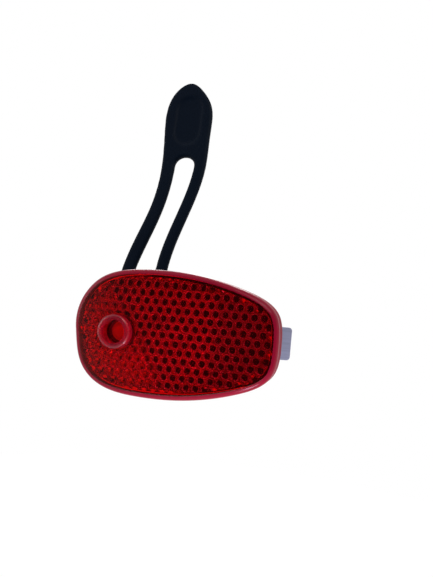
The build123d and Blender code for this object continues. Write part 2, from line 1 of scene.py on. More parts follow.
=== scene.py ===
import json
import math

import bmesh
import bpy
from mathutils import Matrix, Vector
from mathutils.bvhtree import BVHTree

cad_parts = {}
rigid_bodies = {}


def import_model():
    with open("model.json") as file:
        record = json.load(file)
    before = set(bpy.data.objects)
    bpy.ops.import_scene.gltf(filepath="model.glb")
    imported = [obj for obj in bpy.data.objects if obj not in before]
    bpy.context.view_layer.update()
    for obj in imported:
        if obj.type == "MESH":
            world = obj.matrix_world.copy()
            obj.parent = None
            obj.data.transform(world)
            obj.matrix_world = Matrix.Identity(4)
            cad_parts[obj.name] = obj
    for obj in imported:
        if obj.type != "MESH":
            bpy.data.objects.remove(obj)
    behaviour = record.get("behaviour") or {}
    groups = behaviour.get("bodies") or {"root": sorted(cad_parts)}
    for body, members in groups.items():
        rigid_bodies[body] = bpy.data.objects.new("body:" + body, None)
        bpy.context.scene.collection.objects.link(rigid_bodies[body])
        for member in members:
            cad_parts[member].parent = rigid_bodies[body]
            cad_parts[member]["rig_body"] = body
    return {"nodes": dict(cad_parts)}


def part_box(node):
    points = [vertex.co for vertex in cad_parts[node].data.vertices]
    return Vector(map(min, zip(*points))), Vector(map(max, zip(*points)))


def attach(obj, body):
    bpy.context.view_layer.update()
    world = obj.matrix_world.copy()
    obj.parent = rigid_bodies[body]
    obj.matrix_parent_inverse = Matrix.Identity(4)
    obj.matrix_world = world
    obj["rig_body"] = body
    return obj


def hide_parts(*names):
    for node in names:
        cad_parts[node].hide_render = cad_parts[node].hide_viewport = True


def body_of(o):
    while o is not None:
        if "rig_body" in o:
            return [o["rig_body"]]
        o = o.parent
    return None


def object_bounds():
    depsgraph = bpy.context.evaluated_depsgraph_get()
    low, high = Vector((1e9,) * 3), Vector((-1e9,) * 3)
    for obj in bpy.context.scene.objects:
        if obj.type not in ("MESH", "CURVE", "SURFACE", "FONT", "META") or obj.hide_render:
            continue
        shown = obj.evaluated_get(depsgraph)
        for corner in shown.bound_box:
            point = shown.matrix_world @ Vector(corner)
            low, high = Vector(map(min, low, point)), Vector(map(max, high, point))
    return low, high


bl_info = {
    "name": "Bicycle Rear Light",
    "version": (1, 0, 0),
    "blender": (4, 5, 0),
    "location": "3D View > Sidebar > Rear Light",
    "description": "Dresses a bicycle rear light: lens, strap, housing, clip and what is inside",
    "category": "Object",
}

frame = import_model()
CAD_BOX = [list(corner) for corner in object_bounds()]
NODES = frame["nodes"]

# The lens's finishes, in the order of its material slots after the clear one; the fourth, on the skirt's
# inner wall, is painted light: a bright red glow standing in for daylight through the skirt
FROSTED, SATIN, CELLS, PAINTED_GLOW, RING = range(1, 6)

SAME_POINT = 0.000002     # corners nearer than this are merged
FACE_LIFT = 0.00004       # step off a face before looking out along its normal
SIDE_FACING = 0.4         # a face looks sideways if its normal goes less deep than this
FACET_TILT = (0.45, 0.7)  # how deep the normal of a reflector's facet goes
POLISH_CHANGE = 0.4       # how much a polish changes over a face, as a share of its roughness
DUST_GREY = 0.06          # brightness of dust on a black surface
DUST_TINT = 1.3           # how much of the surface's colour its dust takes
FLOOR_CORNERS = 96        # corners of the round floor

# Dark streaks in rolled metal multiply its colour by this
STREAK_COLOUR = (0.35, 0.35, 0.38, 1)

# Edges flatter than this are shaded smooth
CREASES = {
    "strap": math.radians(35),
    "housing": math.radians(30),
    "button": math.radians(50),
    "clip": math.radians(30),
    "grown": math.radians(50),
}

# Moulded finishes of the small parts: nodes, colour, size and depth of the grain, roughness
SMALL_PARTS = {
    "Solder Mask": (("circuit_board",), (0.85, 0.85, 0.83), 0.002, 0.3, 0.3),
    "Black Nylon": (("led_holder", "switch_case"), (0.006, 0.006, 0.007), 0.0004, 0.4, 0.4),
    "Natural Nylon": (("switch_plunger",), (0.6, 0.6, 0.55), 0.0004, 0.3, 0.45),
    "Chip Epoxy": (("control_chip",), (0.012, 0.012, 0.012), 0.0003, 0.6, 0.55),
    "Resistor Glaze": (("resistor",), (0.03, 0.03, 0.035), 0.0006, 0.3, 0.25),
    "Fired Ceramic": (("capacitor",), (0.32, 0.2, 0.1), 0.0004, 0.4, 0.5),
    "Cell Sleeve": (("upper_cell", "lower_cell"), (0.02, 0.02, 0.022), 0.004, 0.3, 0.3),
}

# Soft square lamps: place, size and power
LAMPS = {
    "Key": ((0.28, -0.42, 0.50), 0.35, 2.0),
    "Fill": ((-0.50, -0.30, 0.18), 0.40, 1.0),
    "Back": ((-0.10, 0.50, 0.40), 0.35, 2.0),
}


# Settings

class LensSettings(bpy.types.PropertyGroup):
    """Clear red plastic and its polish."""

    colour: bpy.props.FloatVectorProperty(
        name="Colour", description="Colour of the clear plastic", subtype="COLOR",
        size=3, min=0, max=1, default=(0.86, 0.012, 0.03))
    ior: bpy.props.FloatProperty(
        name="Refraction", description="Refractive index of the plastic", default=1.48, min=1, max=2)
    clearness: bpy.props.FloatProperty(
        name="Clearness", description="Share of the light that goes through the polished plastic",
        default=0.99, min=0, max=1)
    rim_colour: bpy.props.FloatVectorProperty(
        name="Rim Colour", description="Colour of the frosted skirt", subtype="COLOR",
        size=3, min=0, max=1, default=(0.23, 0.004, 0.020))
    # Painted light: the skirt's inner wall is a brighter red than the rim and glows, standing in for
    # daylight that comes through the skirt
    glowing_wall_colour: bpy.props.FloatVectorProperty(
        name="Glowing Wall Colour", description="Colour of the skirt's inner wall", subtype="COLOR",
        size=3, min=0, max=1, default=(0.9, 0.008, 0.02))
    painted_wall_glow: bpy.props.FloatProperty(
        name="Painted Wall Glow", description="Daylight that comes through the skirt to its inner wall",
        default=0.5, min=0)
    cell_room: bpy.props.FloatProperty(
        name="Cell Room", description="Depth behind the front that belongs to the cells' own sides",
        subtype="DISTANCE", default=0.0018)
    slot_room: bpy.props.FloatProperty(
        name="Slot Room", description="Height over the lens's lowest point that the coin slot takes",
        subtype="DISTANCE", default=0.001)
    skirt_frost: bpy.props.FloatProperty(
        name="Skirt Roughness", description="Roughness of the frosted skirt", default=0.5, min=0, max=1)
    rim_frost: bpy.props.FloatProperty(
        name="Rim Roughness", description="Roughness of the rounded rim", default=0.15, min=0, max=1)
    ring_colour: bpy.props.FloatVectorProperty(
        name="Ring Colour", description="Colour of the ring round the LED window", subtype="COLOR",
        size=3, min=0, max=1, default=(0.75, 0.01, 0.05))
    ring_frost: bpy.props.FloatProperty(
        name="Ring Roughness", description="Roughness of the ring round the LED window",
        default=0.25, min=0, max=1)
    ring_clearness: bpy.props.FloatProperty(
        name="Ring Clearness", description="Share of the light that goes through the ring",
        default=0.8, min=0, max=1)
    front: bpy.props.FloatProperty(
        name="Front", description="Depth of the flat front, from the seat post's axis",
        subtype="DISTANCE", default=0.039)
    plate: bpy.props.FloatProperty(
        name="Plate", description="Thickness of the flat front", subtype="DISTANCE", default=0.002)
    window_room: bpy.props.FloatProperty(
        name="Window Room", description="Radius round the LED that belongs to its window",
        subtype="DISTANCE", default=0.0065)
    polish: bpy.props.FloatProperty(
        name="Roughness", description="Roughness of the polished faces", default=0.02, min=0, max=1)
    cell_pitch: bpy.props.FloatProperty(
        name="Cell Pitch", description="From one reflector cell to the next", subtype="DISTANCE",
        default=0.0029, min=0.0005)
    cell_clear: bpy.props.FloatProperty(
        name="Clear Radius", description="Radius of a cell's polished middle", subtype="DISTANCE",
        default=0.00094)
    cell_dull: bpy.props.FloatProperty(
        name="Dull Radius", description="Radius from which a cell is dull", subtype="DISTANCE",
        default=0.00122)
    cell_frost: bpy.props.FloatProperty(
        name="Cell Edge Roughness", description="Roughness where two cells meet", default=0.6, min=0, max=1)
    smooth_angle: bpy.props.FloatProperty(
        name="Smooth Angle", description="Edges flatter than this are shaded smooth",
        subtype="ANGLE", default=math.radians(28))


class SoftSettings(bpy.types.PropertyGroup):
    """Silicone strap and the rubber pieces."""

    strap_colour: bpy.props.FloatVectorProperty(
        name="Strap Colour", description="Colour of the silicone", subtype="COLOR",
        size=3, min=0, max=1, default=(0.0011, 0.0040, 0.0105))
    strap_gloss: bpy.props.FloatProperty(
        name="Strap Roughness", description="Roughness of the silicone", default=0.5, min=0, max=1)
    strap_shine: bpy.props.FloatProperty(
        name="Strap Shine", description="Strength of the silicone's gloss", default=0.05, min=0, max=1)
    strap_mesh: bpy.props.FloatProperty(
        name="Strap Mesh", description="Spacing of the strap's mesh", subtype="DISTANCE",
        default=0.0003, min=0.0002)
    strap_softening: bpy.props.IntProperty(
        name="Strap Softening", description="Smoothing passes over the strap's edges", default=24, min=0)
    rubber_colour: bpy.props.FloatVectorProperty(
        name="Rubber Colour", description="Colour of the pad, the ring and the button", subtype="COLOR",
        size=3, min=0, max=1, default=(0.012, 0.012, 0.013))
    pad_thickness: bpy.props.FloatProperty(
        name="Pad Thickness", description="Thickness of the saddle's pad at its ribs",
        subtype="DISTANCE", default=0.00157, min=0.0005)
    pad_ribs: bpy.props.IntProperty(
        name="Pad Ribs", description="Number of ribs across the pad", default=13, min=1)
    pad_rib_depth: bpy.props.FloatProperty(
        name="Pad Rib Depth", description="Depth of the grooves between the ribs",
        subtype="DISTANCE", default=0.0005, min=0)
    dot_columns: bpy.props.IntProperty(
        name="Dot Columns", description="Dots along the button", default=5, min=1)
    dot_rows: bpy.props.IntProperty(
        name="Dot Rows", description="Dots across the button", default=3, min=1)
    dot_pitch: bpy.props.FloatProperty(
        name="Dot Pitch", description="From one dot to the next", subtype="DISTANCE", default=0.0013)
    dot_radius: bpy.props.FloatProperty(
        name="Dot Radius", description="Radius of one dot", subtype="DISTANCE", default=0.00038)
    dot_height: bpy.props.FloatProperty(
        name="Dot Height", description="How far a dot stands out", subtype="DISTANCE", default=0.00016)


class ShellSettings(bpy.types.PropertyGroup):
    """Moulded housing."""

    colour: bpy.props.FloatVectorProperty(
        name="Colour", description="Colour of the moulded housing", subtype="COLOR",
        size=3, min=0, max=1, default=(0.010, 0.010, 0.012))
    grain: bpy.props.FloatProperty(
        name="Grain", description="Size of the moulded grain", subtype="DISTANCE",
        default=0.00035, min=0.00001)


class MetalSettings(bpy.types.PropertyGroup):
    """Clip, pins, spring and contacts."""

    clip_colour: bpy.props.FloatVectorProperty(
        name="Clip Colour", description="Colour of the rolled steel", subtype="COLOR",
        size=3, min=0, max=1, default=(0.50, 0.53, 0.70))
    pin_colour: bpy.props.FloatVectorProperty(
        name="Pin Colour", description="Colour of the ground steel", subtype="COLOR",
        size=3, min=0, max=1, default=(0.55, 0.55, 0.57))
    contact_colour: bpy.props.FloatVectorProperty(
        name="Contact Colour", description="Colour of the plated contacts", subtype="COLOR",
        size=3, min=0, max=1, default=(0.72, 0.69, 0.62))


class StageSettings(bpy.types.PropertyGroup):
    """Camera, floor and lights."""

    eye: bpy.props.FloatVectorProperty(
        name="Camera", description="Place of the camera", subtype="XYZ", unit="LENGTH",
        size=3, default=(0.067367, -0.209912, 0.010161))
    azimuth: bpy.props.FloatProperty(
        name="Azimuth", description="How far round to the right the camera stands",
        subtype="ANGLE", default=math.radians(16))
    elevation: bpy.props.FloatProperty(
        name="Elevation", description="How high the camera stands", subtype="ANGLE",
        default=math.radians(2.6))
    roll: bpy.props.FloatProperty(
        name="Roll", description="How far the camera leans", subtype="ANGLE",
        default=math.radians(4.648))
    lens: bpy.props.FloatProperty(
        name="Focal Length", description="Focal length of the camera in millimetres",
        default=37.43, min=1)
    shift: bpy.props.FloatVectorProperty(
        name="Shift", description="Shift of the picture", size=2, default=(0.0702, 0.0719))
    glint_side: bpy.props.FloatVectorProperty(
        name="Glint Side", description="Way to the small lamp", subtype="DIRECTION",
        size=3, default=(0.558, -0.289, -0.777))
    glint_far: bpy.props.FloatProperty(
        name="Glint Distance", description="How far away the small lamp hangs", subtype="DISTANCE",
        default=0.11)
    glint_size: bpy.props.FloatProperty(
        name="Glint Size", description="Side of the small lamp", subtype="DISTANCE", default=0.025)
    glint_power: bpy.props.FloatProperty(
        name="Glint Power", description="Power of the small lamp in watts", default=0.08, min=0)
    glint_colour: bpy.props.FloatVectorProperty(
        name="Glint Colour", description="Colour of the small lamp", subtype="COLOR",
        size=3, min=0, max=1, default=(0.86, 0.78, 1.0))
    sky: bpy.props.FloatProperty(
        name="Sky", description="Brightness of the studio's white walls", default=0.9, min=0)
    room_side: bpy.props.FloatVectorProperty(
        name="Room Side", description="Way to the dark room in front of the light",
        subtype="DIRECTION", size=3, default=(0.276, -0.958, 0.052))
    room_edge: bpy.props.FloatProperty(
        name="Room Edge", description="Cosine at which the room begins", default=0.3)
    room_middle: bpy.props.FloatProperty(
        name="Room Middle", description="Cosine at which the room is darkest", default=0.85)
    room_colour: bpy.props.FloatVectorProperty(
        name="Room Colour", description="Colour of the dark room", subtype="COLOR",
        size=3, min=0, max=1, default=(0.010, 0.006, 0.006))
    floor_drop: bpy.props.FloatProperty(
        name="Floor Drop", description="How far the floor lies under the light", subtype="DISTANCE",
        default=0.1, min=0)
    floor_reach: bpy.props.FloatProperty(
        name="Floor Reach", description="Radius of the floor", subtype="DISTANCE",
        default=0.3, min=0.1)
    floor_colour: bpy.props.FloatVectorProperty(
        name="Floor Colour", description="Colour of the floor", subtype="COLOR",
        size=3, min=0, max=1, default=(0.9, 0.9, 0.9))
    floor_white: bpy.props.FloatProperty(
        name="Floor White", description="How white the floor shows to the camera and in mirrors",
        default=0.95, min=0, max=1)


# Node helpers

def new_tree(name):
    """An empty material, its node tree and its output."""
    material = bpy.data.materials.new(name)
    material.use_nodes = True
    tree = material.node_tree
    tree.nodes.clear()
    return material, tree, tree.nodes.new("ShaderNodeOutputMaterial")


def new_material(name):
    """A material with one plain shader, its node tree and the shader."""
    material, tree, out = new_tree(name)
    shader = tree.nodes.new("ShaderNodeBsdfPrincipled")
    link(tree, shader.outputs[0], out.inputs["Surface"])
    return material, tree, shader


def link(tree, out_socket, in_socket):
    """Joins two sockets."""
    tree.links.new(out_socket, in_socket)


def feed(tree, term, socket):
    """Feeds a socket from another socket, or with a plain value."""
    if isinstance(term, bpy.types.NodeSocket):
        link(tree, term, socket)
    else:
        socket.default_value = term


def math_node(tree, operation, *terms, clamp=False):
    """A math node fed by sockets or plain numbers; gives its result."""
    node = tree.nodes.new("ShaderNodeMath")
    node.operation = operation
    node.use_clamp = clamp
    for index, term in enumerate(terms):
        feed(tree, term, node.inputs[index])
    return node.outputs[0]


def vector_node(tree, operation, *terms):
    """A vector math node fed by sockets or plain vectors; gives the node."""
    node = tree.nodes.new("ShaderNodeVectorMath")
    node.operation = operation
    for index, term in enumerate(terms):
        feed(tree, term, node.inputs[index])
    return node


def noise_node(tree, place, scale, detail, roughness=0.5):
    """A noise over a place; gives its value."""
    node = tree.nodes.new("ShaderNodeTexNoise")
    feed(tree, place, node.inputs["Vector"])
    feed(tree, scale, node.inputs["Scale"])
    node.inputs["Detail"].default_value = detail
    node.inputs["Roughness"].default_value = roughness
    return node.outputs["Fac"]


def stretch_node(tree, value, low, high):
    """Stretches the values from low to high over 0 to 1; gives its result."""
    node = tree.nodes.new("ShaderNodeMapRange")
    node.inputs["From Min"].default_value = low
    node.inputs["From Max"].default_value = high
    link(tree, value, node.inputs["Value"])
    return node.outputs["Result"]


def blend_node(tree, kind, share, first, second):
    """A blend of two colours; gives its result."""
    node = tree.nodes.new("ShaderNodeMix")
    node.data_type = "RGBA"
    node.blend_type = kind
    feed(tree, share, node.inputs["Factor"])
    feed(tree, first, node.inputs["A"])
    feed(tree, second, node.inputs["B"])
    return node.outputs["Result"]


def seen_white(tree):
    """Rays of the camera, and those that a mirror or clear plastic sends on."""
    path = tree.nodes.new("ShaderNodeLightPath")
    mirrored = math_node(
        tree, "ADD", path.outputs["Is Glossy Ray"], path.outputs["Is Transmission Ray"], clamp=True)
    return path.outputs["Is Camera Ray"], mirrored


def finish_group(name, inputs, outputs):
    """A shader node group with the given sockets, and its two end nodes."""
    group = bpy.data.node_groups.new(name, "ShaderNodeTree")
    for title, kind, value in inputs:
        socket = group.interface.new_socket(title, in_out="INPUT", socket_type=kind)
        if value is not None:
            socket.default_value = value
    for title, kind in outputs:
        group.interface.new_socket(title, in_out="OUTPUT", socket_type=kind)
    return group, group.nodes.new("NodeGroupInput"), group.nodes.new("NodeGroupOutput")


def place_group(tree, group, values):
    """One use of a shared group, with its own values."""
    node = tree.nodes.new("ShaderNodeGroup")
    node.node_tree = group
    for title, value in values.items():
        node.inputs[title].default_value = value
    return node


def grain_group():
    """Moulded grain: a fine bump and a slight change of gloss."""
    name = "Moulded Grain"
    if name in bpy.data.node_groups:
        return bpy.data.node_groups[name]
    group, ins, outs = finish_group(
        name,
        [("Size", "NodeSocketFloat", 0.0004), ("Depth", "NodeSocketFloat", 0.2),
         ("Gloss", "NodeSocketFloat", 0.5), ("Gloss Change", "NodeSocketFloat", 0.08)],
        [("Roughness", "NodeSocketFloat"), ("Height", "NodeSocketFloat")])
    place = group.nodes.new("ShaderNodeTexCoord").outputs["Object"]
    scale = math_node(group, "DIVIDE", 1.0, ins.outputs["Size"])
    grain = noise_node(group, place, scale, detail=3.0)
    patches = noise_node(group, place, scale=140.0, detail=2.0)
    height = math_node(group, "MULTIPLY", grain, ins.outputs["Depth"])
    change = math_node(group, "SUBTRACT", patches, 0.5)
    gloss = math_node(group, "MULTIPLY_ADD", change, ins.outputs["Gloss Change"], ins.outputs["Gloss"])
    link(group, gloss, outs.inputs["Roughness"])
    link(group, height, outs.inputs["Height"])
    return group


def handling_group():
    """Faint dust and finger marks that lighten a dark surface in soft patches."""
    name = "Handling Marks"
    if name in bpy.data.node_groups:
        return bpy.data.node_groups[name]
    group, ins, outs = finish_group(
        name,
        [("Colour", "NodeSocketColor", (0.01, 0.01, 0.01, 1)),
         ("Dust Colour", "NodeSocketColor", (0.10, 0.10, 0.11, 1)), ("Amount", "NodeSocketFloat", 0.1)],
        [("Colour", "NodeSocketColor")])
    place = group.nodes.new("ShaderNodeTexCoord").outputs["Object"]
    patches = noise_node(group, place, scale=90.0, detail=4.0)
    specks = noise_node(group, place, scale=2600.0, detail=2.0)
    patches = stretch_node(group, patches, low=0.45, high=0.75)
    specks = stretch_node(group, specks, low=0.55, high=0.72)
    dust = math_node(group, "MULTIPLY", patches, specks)
    amount = math_node(group, "MULTIPLY", dust, ins.outputs["Amount"])
    colour = blend_node(group, "MIX", amount, ins.outputs["Colour"], ins.outputs["Dust Colour"])
    link(group, colour, outs.inputs["Colour"])
    return group


def add_relief(tree, shader, height, depth):
    """Gives a shader its bump."""
    relief = tree.nodes.new("ShaderNodeBump")
    relief.inputs["Distance"].default_value = depth
    link(tree, height, relief.inputs["Height"])
    link(tree, relief.outputs["Normal"], shader.inputs["Normal"])


def grained_material(name, colour, size, depth, gloss, change=0.08, bump=0.00004, dust=0.3, shine=0.5):
    """Plastic or rubber with a moulded grain."""
    material, tree, shader = new_material(name)
    shader.inputs["Specular IOR Level"].default_value = shine
    dust_colour = [min(1.0, DUST_GREY + DUST_TINT * part) for part in colour]
    marks = place_group(tree, handling_group(), {
        "Colour": (*colour, 1), "Dust Colour": (*dust_colour, 1), "Amount": dust})
    grain = place_group(tree, grain_group(), {
        "Size": size, "Depth": depth, "Gloss": gloss, "Gloss Change": change})
    link(tree, marks.outputs["Colour"], shader.inputs["Base Color"])
    link(tree, grain.outputs["Roughness"], shader.inputs["Roughness"])
    add_relief(tree, shader, grain.outputs["Height"], bump)
    return material


def rolled_group():
    """Rolled or ground metal: streaks along one way."""
    name = "Rolled Streaks"
    if name in bpy.data.node_groups:
        return bpy.data.node_groups[name]
    group, ins, outs = finish_group(
        name,
        [("Along", "NodeSocketVector", (30.0, 30.0, 4000.0)), ("Gloss", "NodeSocketFloat", 0.3),
         ("Gloss Change", "NodeSocketFloat", 0.2), ("Colour", "NodeSocketColor", (0.5, 0.5, 0.5, 1)),
         ("Shade", "NodeSocketFloat", 0.25)],
        [("Colour", "NodeSocketColor"), ("Roughness", "NodeSocketFloat"), ("Height", "NodeSocketFloat")])
    place = group.nodes.new("ShaderNodeTexCoord").outputs["Object"]
    stretched = vector_node(group, "MULTIPLY", place, ins.outputs["Along"])
    streaks = noise_node(group, stretched.outputs[0], scale=1.0, detail=5.0, roughness=0.7)
    change = math_node(group, "SUBTRACT", streaks, 0.5)
    gloss = math_node(group, "MULTIPLY_ADD", change, ins.outputs["Gloss Change"], ins.outputs["Gloss"])
    amount = math_node(group, "MULTIPLY", streaks, ins.outputs["Shade"])
    colour = blend_node(group, "MULTIPLY", amount, ins.outputs["Colour"], STREAK_COLOUR)
    link(group, colour, outs.inputs["Colour"])
    link(group, gloss, outs.inputs["Roughness"])
    link(group, streaks, outs.inputs["Height"])
    return group


def rolled_material(name, colour, along, gloss, change=0.15, shade=0.25, bump=0.000004, metal=1.0):
    """Bare metal with streaks left by rolling or grinding."""
    material, tree, shader = new_material(name)
    shader.inputs["Metallic"].default_value = metal
    streaks = place_group(tree, rolled_group(), {
        "Along": along, "Gloss": gloss, "Gloss Change": change, "Colour": (*colour, 1), "Shade": shade})
    link(tree, streaks.outputs["Colour"], shader.inputs["Base Color"])
    link(tree, streaks.outputs["Roughness"], shader.inputs["Roughness"])
    add_relief(tree, shader, streaks.outputs["Height"], bump)
    return material


def polish(roughness):
    """The polish of a plain clear face, which changes a little over the face."""
    return grain_group(), {"Gloss": roughness, "Gloss Change": POLISH_CHANGE * roughness}


def clear_material(name, colour, ior, finish, clearness=1.0, shine=0.5, glow=0.0):
    """Clear coloured plastic, a little milky where its clearness is under 1; a glow above 0 is painted
    light, an emission in the plastic's own colour.
    """
    material, tree, shader = new_material(name)
    shader.inputs["Base Color"].default_value = (*colour, 1)
    shader.inputs["IOR"].default_value = ior
    shader.inputs["Transmission Weight"].default_value = clearness
    shader.inputs["Specular IOR Level"].default_value = shine
    shader.inputs["Emission Color"].default_value = (*colour, 1)
    shader.inputs["Emission Strength"].default_value = glow
    surface = place_group(tree, *finish)
    link(tree, surface.outputs["Roughness"], shader.inputs["Roughness"])
    return material


def cell_group():
    """Polish of six-sided reflector cells: clear in the middle, dull where two cells meet."""
    name = "Moulded Cells"
    if name in bpy.data.node_groups:
        return bpy.data.node_groups[name]
    group, ins, outs = finish_group(
        name,
        [("Pitch", "NodeSocketFloat", 0.0029), ("Anchor", "NodeSocketVector", (0.0, 0.0, 0.0)),
         ("Clear Radius", "NodeSocketFloat", 0.0008), ("Dull Radius", "NodeSocketFloat", 0.0012),
         ("Polish", "NodeSocketFloat", 0.02), ("Dull", "NodeSocketFloat", 0.4)],
        [("Roughness", "NodeSocketFloat")])
    place = group.nodes.new("ShaderNodeTexCoord").outputs["Object"]
    shape = vector_node(group, "SCALE", (0.5, 0.0, math.sqrt(0.75)))
    link(group, ins.outputs["Pitch"], shape.inputs["Scale"])
    corner = shape.outputs[0]
    opposite = vector_node(group, "MULTIPLY", corner, (-1.0, -1.0, -1.0)).outputs[0]
    aside = vector_node(group, "SUBTRACT", place, ins.outputs["Anchor"]).outputs[0]
    aside = vector_node(group, "MULTIPLY", aside, (1.0, 0.0, 1.0)).outputs[0]
    shifted = vector_node(group, "ADD", aside, corner).outputs[0]
    even = vector_node(group, "WRAP", aside, corner, opposite).outputs[0]
    odd = vector_node(group, "WRAP", shifted, corner, opposite).outputs[0]
    even = vector_node(group, "LENGTH", even).outputs["Value"]
    odd = vector_node(group, "LENGTH", odd).outputs["Value"]
    edge = group.nodes.new("ShaderNodeMapRange")
    edge.interpolation_type = "SMOOTHSTEP"
    link(group, math_node(group, "MINIMUM", even, odd), edge.inputs["Value"])
    link(group, ins.outputs["Clear Radius"], edge.inputs["From Min"])
    link(group, ins.outputs["Dull Radius"], edge.inputs["From Max"])
    link(group, ins.outputs["Polish"], edge.inputs["To Min"])
    link(group, ins.outputs["Dull"], edge.inputs["To Max"])
    link(group, edge.outputs["Result"], outs.inputs["Roughness"])
    return group


def dress(node, material):
    """Gives a CAD node its finish."""
    mesh = NODES[node].data
    mesh.materials.clear()
    mesh.materials.append(material)


def smooth_copy(node, angle):
    """A merged copy of a CAD node, shaded smooth across its flat edges."""
    source = NODES[node]
    mesh = source.data.copy()
    mesh.name = node + "_moulded"
    work = bmesh.new()
    work.from_mesh(mesh)
    bmesh.ops.remove_doubles(work, verts=work.verts, dist=SAME_POINT)
    work.to_mesh(mesh)
    work.free()
    if "custom_normal" in mesh.attributes:
        mesh.attributes.remove(mesh.attributes["custom_normal"])
    mesh.materials.clear()
    piece = bpy.data.objects.new(node + "_moulded", mesh)
    bpy.context.scene.collection.objects.link(piece)
    mesh.shade_smooth()
    mesh.set_sharp_from_angle(angle=angle)
    return piece


def take_shape(piece):
    """Swaps a piece's modifiers for the plain mesh that they make."""
    shape = piece.evaluated_get(bpy.context.evaluated_depsgraph_get())
    mesh = bpy.data.meshes.new_from_object(shape)
    piece.modifiers.clear()
    piece.data = mesh


def soften(piece, spacing, times):
    """An even mesh with the small roundness of a soft moulding on every edge."""
    remesh = piece.modifiers.new("Even Mesh", "REMESH")
    remesh.mode = "VOXEL"
    remesh.voxel_size = spacing
    remesh.use_smooth_shade = True
    smooth = piece.modifiers.new("Soft Edges", "SMOOTH")
    smooth.factor = 0.5
    smooth.iterations = times
    take_shape(piece)
    piece.data.shade_smooth()


def settle(piece, node, material):
    """Puts a finished piece in a CAD node's place, on the node's own body."""
    piece.data.materials.clear()
    piece.data.materials.append(material)
    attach(piece, body_of(NODES[node])[0])
    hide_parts(node)


# Shapes that follow a rule

def shape_tree(name, inputs):
    """An empty geometry tree with named inputs, and its two end nodes."""
    tree = bpy.data.node_groups.new(name, "GeometryNodeTree")
    tree.interface.new_socket("Geometry", in_out="INPUT", socket_type="NodeSocketGeometry")
    for title, kind, value in inputs:
        tree.interface.new_socket(title, in_out="INPUT", socket_type=kind).default_value = value
    tree.interface.new_socket("Geometry", in_out="OUTPUT", socket_type="NodeSocketGeometry")
    return tree, tree.nodes.new("NodeGroupInput"), tree.nodes.new("NodeGroupOutput")


def end_tree(tree, shape, outs, material):
    """Realizes a tree's instances and gives them their material."""
    real = tree.nodes.new("GeometryNodeRealizeInstances")
    dressed = tree.nodes.new("GeometryNodeSetMaterial")
    dressed.inputs["Material"].default_value = material
    link(tree, shape, real.inputs[0])
    link(tree, real.outputs[0], dressed.inputs["Geometry"])
    link(tree, dressed.outputs[0], outs.inputs[0])


def pad_tree(material):
    """A ribbed pad: a flat bar bent round the post's axis, with waves on its inner face."""
    tree, ins, outs = shape_tree("Ribbed Pad", [
        ("Length", "NodeSocketFloat", 0.0168), ("Half Wrap", "NodeSocketFloat", 1.0),
        ("Outer Radius", "NodeSocketFloat", 0.0152), ("Thickness", "NodeSocketFloat", 0.0016),
        ("Ribs", "NodeSocketInt", 13), ("Rib Depth", "NodeSocketFloat", 0.0005)])
    steps_per_rib = 16.0
    steps = math_node(tree, "MULTIPLY_ADD", ins.outputs["Ribs"], steps_per_rib, 1.0)
    wrap = math_node(tree, "MULTIPLY", ins.outputs["Half Wrap"], 2.0)
    size = tree.nodes.new("ShaderNodeCombineXYZ")
    size.inputs["Z"].default_value = 1.0
    bar = tree.nodes.new("GeometryNodeMeshCube")
    bar.inputs["Vertices X"].default_value = 2
    bar.inputs["Vertices Z"].default_value = 2
    place = tree.nodes.new("GeometryNodeInputPosition")
    parts = tree.nodes.new("ShaderNodeSeparateXYZ")
    link(tree, ins.outputs["Length"], size.inputs["X"])
    link(tree, wrap, size.inputs["Y"])
    link(tree, size.outputs[0], bar.inputs["Size"])
    link(tree, steps, bar.inputs["Vertices Y"])
    link(tree, place.outputs[0], parts.inputs[0])
    share = math_node(tree, "DIVIDE", parts.outputs["Y"], wrap)
    turns = math_node(tree, "MULTIPLY", share, ins.outputs["Ribs"])
    wave = math_node(tree, "COSINE", math_node(tree, "MULTIPLY", turns, math.tau))
    groove = math_node(tree, "MULTIPLY_ADD", wave, -0.5, 0.5)
    groove = math_node(tree, "MULTIPLY", groove, ins.outputs["Rib Depth"])
    inward = math_node(tree, "SUBTRACT", 0.5, parts.outputs["Z"])
    height = math_node(tree, "SUBTRACT", ins.outputs["Thickness"], groove)
    sunk = math_node(tree, "MULTIPLY", inward, height)
    radius = math_node(tree, "SUBTRACT", ins.outputs["Outer Radius"], sunk)
    forward = math_node(tree, "MULTIPLY", radius, math_node(tree, "COSINE", parts.outputs["Y"]))
    forward = math_node(tree, "MULTIPLY", forward, -1.0)
    upward = math_node(tree, "MULTIPLY", radius, math_node(tree, "SINE", parts.outputs["Y"]))
    bent = tree.nodes.new("ShaderNodeCombineXYZ")
    bend = tree.nodes.new("GeometryNodeSetPosition")
    link(tree, parts.outputs["X"], bent.inputs["X"])
    link(tree, forward, bent.inputs["Y"])
    link(tree, upward, bent.inputs["Z"])
    link(tree, bar.outputs["Mesh"], bend.inputs["Geometry"])
    link(tree, bent.outputs[0], bend.inputs["Position"])
    end_tree(tree, bend.outputs[0], outs, material)
    return tree


